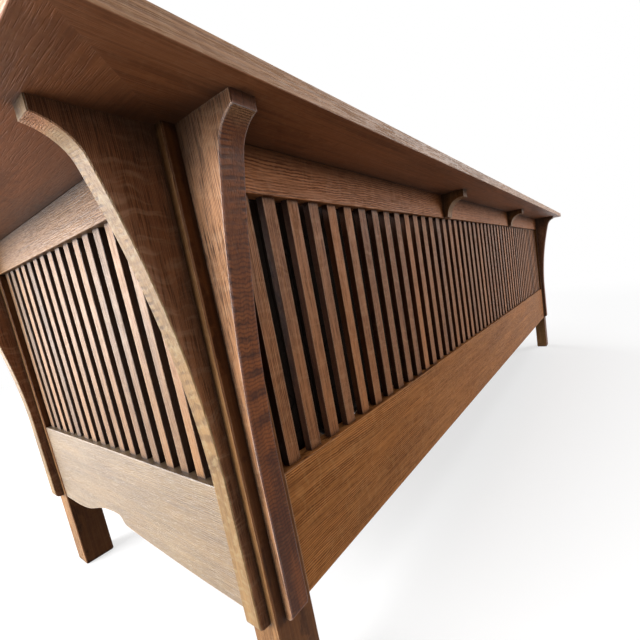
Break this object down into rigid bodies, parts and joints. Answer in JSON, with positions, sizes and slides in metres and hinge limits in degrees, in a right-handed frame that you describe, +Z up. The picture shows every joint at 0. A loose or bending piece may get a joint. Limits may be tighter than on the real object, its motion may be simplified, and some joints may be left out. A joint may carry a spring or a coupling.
{
  "type": "mission settle",
  "caption": "Mission settle with square posts, spindled back and ends, a flat overhanging cap carried on long corbels, and loose leather cushions on a slatted seat.",
  "frame": {"origin": "on the floor under the middle of the settle's outline", "axes": "+X along the back towards the right end seen from the front, +Y out of the back, +Z up"},
  "size_m": [2.162, 0.981, 0.737],
  "materials": {
    "fumed_oak": "satin fumed quartersawn oak",
    "plain_oak": "unstained oak, planed",
    "leather": "dark waxed leather over padding",
    "screw_steel": "plain steel"
  },
  "bodies": {
    "frame": {"back_bottom_rail": "fumed_oak", "back_bracket_left": "fumed_oak", "back_bracket_right": "fumed_oak", "back_spindles": "fumed_oak", "back_top_rail": "fumed_oak", "cap_arm_left": "fumed_oak", "cap_arm_right": "fumed_oak", "cap_back": "fumed_oak", "cleat_screws_back": "screw_steel", "cleat_screws_front": "screw_steel", "cleat_screws_left": "screw_steel", "cleat_screws_right": "screw_steel", "corbel_back_left_on_back": "fumed_oak", "corbel_back_left_on_end": "fumed_oak", "corbel_back_right_on_back": "fumed_oak", "corbel_back_right_on_end": "fumed_oak", "corbel_dowels_back_left": "plain_oak", "corbel_dowels_back_right": "plain_oak", "corbel_dowels_front_left": "plain_oak", "corbel_dowels_front_right": "plain_oak", "corbel_front_left_on_end": "fumed_oak", "corbel_front_left_on_front": "fumed_oak", "corbel_front_right_on_end": "fumed_oak", "corbel_front_right_on_front": "fumed_oak", "corner_block_back_left": "plain_oak", "corner_block_back_right": "plain_oak", "corner_block_front_left": "plain_oak", "corner_block_front_right": "plain_oak", "end_bottom_rail_left": "fumed_oak", "end_bottom_rail_right": "fumed_oak", "end_spindles_left": "fumed_oak", "end_spindles_right": "fumed_oak", "end_top_rail_left": "fumed_oak", "end_top_rail_right": "fumed_oak", "front_seat_rail": "fumed_oak", "mitre_spline_left": "plain_oak", "mitre_spline_right": "plain_oak", "post_back_left": "fumed_oak", "post_back_right": "fumed_oak", "post_front_left": "fumed_oak", "post_front_right": "fumed_oak", "seat_cleat_back": "plain_oak", "seat_cleat_front": "plain_oak", "seat_cleat_left": "plain_oak", "seat_cleat_right": "plain_oak", "seat_cross_rail_left": "plain_oak", "seat_cross_rail_right": "plain_oak", "seat_middle_beam": "plain_oak", "seat_slats": "plain_oak"},
    "back_cushion_left": {"back_cushion_left": "leather"},
    "back_cushion_middle": {"back_cushion_middle": "leather"},
    "back_cushion_right": {"back_cushion_right": "leather"},
    "end_cushion_left": {"end_cushion_left": "leather"},
    "end_cushion_right": {"end_cushion_right": "leather"},
    "seat_cushion_left": {"seat_cushion_left": "leather"},
    "seat_cushion_middle": {"seat_cushion_middle": "leather"},
    "seat_cushion_right": {"seat_cushion_right": "leather"}
  },
  "joints": [
    {"name": "lift_back_cushion_left", "type": "slide", "parent": "frame", "child": "back_cushion_left", "axis": [0, 0, 1], "range_m": [0, 0.45]},
    {"name": "lift_back_cushion_middle", "type": "slide", "parent": "frame", "child": "back_cushion_middle", "axis": [0, 0, 1], "range_m": [0, 0.45]},
    {"name": "lift_back_cushion_right", "type": "slide", "parent": "frame", "child": "back_cushion_right", "axis": [0, 0, 1], "range_m": [0, 0.45]},
    {"name": "lift_end_cushion_left", "type": "slide", "parent": "frame", "child": "end_cushion_left", "axis": [0, 0, 1], "range_m": [0, 0.45]},
    {"name": "lift_end_cushion_right", "type": "slide", "parent": "frame", "child": "end_cushion_right", "axis": [0, 0, 1], "range_m": [0, 0.45]},
    {"name": "lift_seat_cushion_left", "type": "slide", "parent": "frame", "child": "seat_cushion_left", "axis": [0, 0, 1], "range_m": [0, 0.45]},
    {"name": "lift_seat_cushion_middle", "type": "slide", "parent": "frame", "child": "seat_cushion_middle", "axis": [0, 0, 1], "range_m": [0, 0.45]},
    {"name": "lift_seat_cushion_right", "type": "slide", "parent": "frame", "child": "seat_cushion_right", "axis": [0, 0, 1], "range_m": [0, 0.45]}
  ]
}
